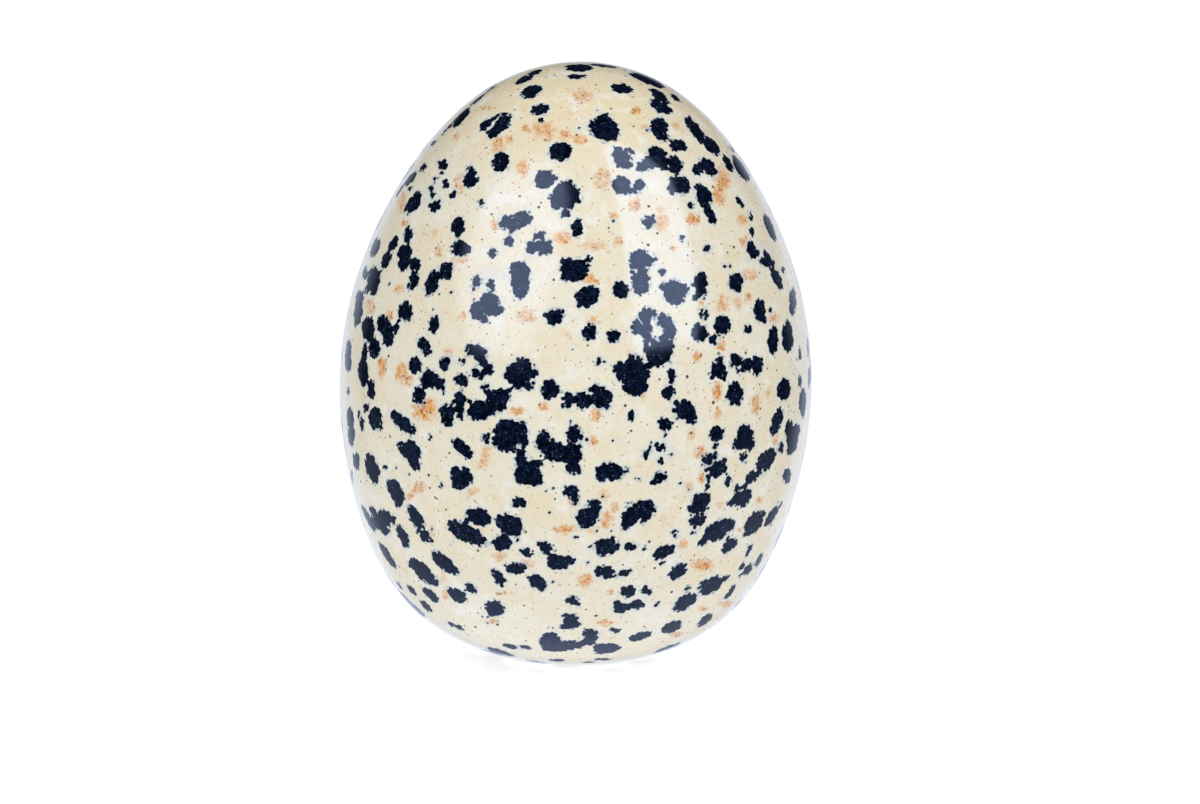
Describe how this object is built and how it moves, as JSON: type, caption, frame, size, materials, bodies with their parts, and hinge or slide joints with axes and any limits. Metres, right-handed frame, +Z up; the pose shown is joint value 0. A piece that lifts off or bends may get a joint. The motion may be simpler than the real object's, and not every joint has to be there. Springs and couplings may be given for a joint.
{
  "type": "polished stone egg",
  "caption": "Solid polished egg of cream spotted stone, round and taller than wide, standing on a small ground flat at its blunt end.",
  "frame": {"origin": "centre of the small flat that the egg stands on", "axes": "+Z up along the egg's axis of turning, from the blunt end to the pointed end; -Y is the side that faced the camera"},
  "size_m": [0.037, 0.037, 0.0468],
  "materials": {
    "stone": "high polish, cream with black mineral spots and rust stains"
  },
  "bodies": {
    "root": {"egg": "stone"}
  },
  "joints": []
}
